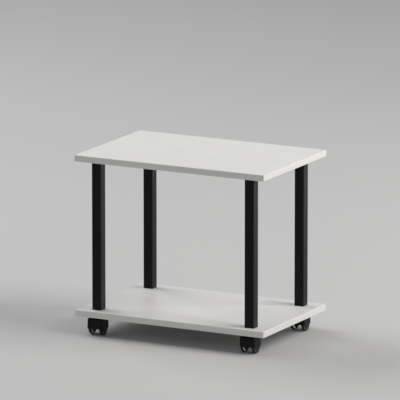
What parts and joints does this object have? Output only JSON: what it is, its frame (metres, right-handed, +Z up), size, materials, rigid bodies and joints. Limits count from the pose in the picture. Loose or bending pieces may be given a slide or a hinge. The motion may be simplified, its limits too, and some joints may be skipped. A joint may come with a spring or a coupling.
{
  "type": "mobile printer stand",
  "caption": "Low rolling stand: a rectangular top board and an open lower shelf joined by square corner posts, on swivelling twin-wheel casters.",
  "frame": {"origin": "on the floor, at the middle of the stand's footprint", "axes": "+X to the stand's right along its long side, -Y to its front, +Z up"},
  "size_m": [0.52, 0.34, 0.45],
  "materials": {
    "white_laminate": "white melamine-faced board, satin",
    "white_edge_band": "white plastic edge band, satin",
    "black_powder_coat": "black powder coat, satin",
    "black_hood_nylon": "black moulded nylon, satin",
    "black_wheel_nylon": "black moulded nylon wheel, satin",
    "black_plug_nylon": "black moulded plug, matte",
    "zinc_steel": "bright zinc plated steel",
    "spring_steel": "dark spring steel"
  },
  "bodies": {
    "root": {"top_board": "white_laminate", "lower_board": "white_laminate", "top_band_front": "white_edge_band", "top_band_rear": "white_edge_band", "top_band_left": "white_edge_band", "top_band_right": "white_edge_band", "lower_band_front": "white_edge_band", "lower_band_rear": "white_edge_band", "lower_band_left": "white_edge_band", "lower_band_right": "white_edge_band", "top_insert_nuts": "zinc_steel", "post_joint_studs": "zinc_steel", "post_plug_nuts": "zinc_steel", "caster_washers": "zinc_steel", "post_front_left": "black_powder_coat", "post_plug_bottom_front_left": "black_plug_nylon", "post_plug_top_front_left": "black_plug_nylon", "caster_stem_front_left": "zinc_steel", "post_front_right": "black_powder_coat", "post_plug_bottom_front_right": "black_plug_nylon", "post_plug_top_front_right": "black_plug_nylon", "caster_stem_front_right": "zinc_steel", "post_rear_left": "black_powder_coat", "post_plug_bottom_rear_left": "black_plug_nylon", "post_plug_top_rear_left": "black_plug_nylon", "caster_stem_rear_left": "zinc_steel", "post_rear_right": "black_powder_coat", "post_plug_bottom_rear_right": "black_plug_nylon", "post_plug_top_rear_right": "black_plug_nylon", "caster_stem_rear_right": "zinc_steel"},
    "caster_front_left": {"caster_hood_front_left": "black_hood_nylon", "caster_ring_front_left": "spring_steel", "caster_axle_front_left": "zinc_steel"},
    "wheel_left_front_left": {"caster_wheel_left_front_left": "black_wheel_nylon"},
    "wheel_right_front_left": {"caster_wheel_right_front_left": "black_wheel_nylon"},
    "caster_front_right": {"caster_hood_front_right": "black_hood_nylon", "caster_ring_front_right": "spring_steel", "caster_axle_front_right": "zinc_steel"},
    "wheel_left_front_right": {"caster_wheel_left_front_right": "black_wheel_nylon"},
    "wheel_right_front_right": {"caster_wheel_right_front_right": "black_wheel_nylon"},
    "caster_rear_left": {"caster_hood_rear_left": "black_hood_nylon", "caster_ring_rear_left": "spring_steel", "caster_axle_rear_left": "zinc_steel"},
    "wheel_left_rear_left": {"caster_wheel_left_rear_left": "black_wheel_nylon"},
    "wheel_right_rear_left": {"caster_wheel_right_rear_left": "black_wheel_nylon"},
    "caster_rear_right": {"caster_hood_rear_right": "black_hood_nylon", "caster_ring_rear_right": "spring_steel", "caster_axle_rear_right": "zinc_steel"},
    "wheel_left_rear_right": {"caster_wheel_left_rear_right": "black_wheel_nylon"},
    "wheel_right_rear_right": {"caster_wheel_right_rear_right": "black_wheel_nylon"}
  },
  "joints": [
    {"name": "swivel_front_left", "type": "hinge", "parent": "root", "child": "caster_front_left", "pos_m": [-0.21, -0.1375, 0.042], "axis": [0, 0, 1], "continuous": true},
    {"name": "roll_left_front_left", "type": "hinge", "parent": "caster_front_left", "child": "wheel_left_front_left", "pos_m": [-0.22325, -0.1425, 0.0175], "axis": [1, 0, 0], "continuous": true},
    {"name": "roll_right_front_left", "type": "hinge", "parent": "caster_front_left", "child": "wheel_right_front_left", "pos_m": [-0.19675, -0.1425, 0.0175], "axis": [1, 0, 0], "continuous": true},
    {"name": "swivel_front_right", "type": "hinge", "parent": "root", "child": "caster_front_right", "pos_m": [0.21, -0.1375, 0.042], "axis": [0, 0, 1], "continuous": true},
    {"name": "roll_left_front_right", "type": "hinge", "parent": "caster_front_right", "child": "wheel_left_front_right", "pos_m": [0.19675, -0.1425, 0.0175], "axis": [1, 0, 0], "continuous": true},
    {"name": "roll_right_front_right", "type": "hinge", "parent": "caster_front_right", "child": "wheel_right_front_right", "pos_m": [0.22325, -0.1425, 0.0175], "axis": [1, 0, 0], "continuous": true},
    {"name": "swivel_rear_left", "type": "hinge", "parent": "root", "child": "caster_rear_left", "pos_m": [-0.21, 0.1315, 0.042], "axis": [0, 0, 1], "continuous": true},
    {"name": "roll_left_rear_left", "type": "hinge", "parent": "caster_rear_left", "child": "wheel_left_rear_left", "pos_m": [-0.22325, 0.1265, 0.0175], "axis": [1, 0, 0], "continuous": true},
    {"name": "roll_right_rear_left", "type": "hinge", "parent": "caster_rear_left", "child": "wheel_right_rear_left", "pos_m": [-0.19675, 0.1265, 0.0175], "axis": [1, 0, 0], "continuous": true},
    {"name": "swivel_rear_right", "type": "hinge", "parent": "root", "child": "caster_rear_right", "pos_m": [0.21, 0.1315, 0.042], "axis": [0, 0, 1], "continuous": true},
    {"name": "roll_left_rear_right", "type": "hinge", "parent": "caster_rear_right", "child": "wheel_left_rear_right", "pos_m": [0.19675, 0.1265, 0.0175], "axis": [1, 0, 0], "continuous": true},
    {"name": "roll_right_rear_right", "type": "hinge", "parent": "caster_rear_right", "child": "wheel_right_rear_right", "pos_m": [0.22325, 0.1265, 0.0175], "axis": [1, 0, 0], "continuous": true}
  ]
}
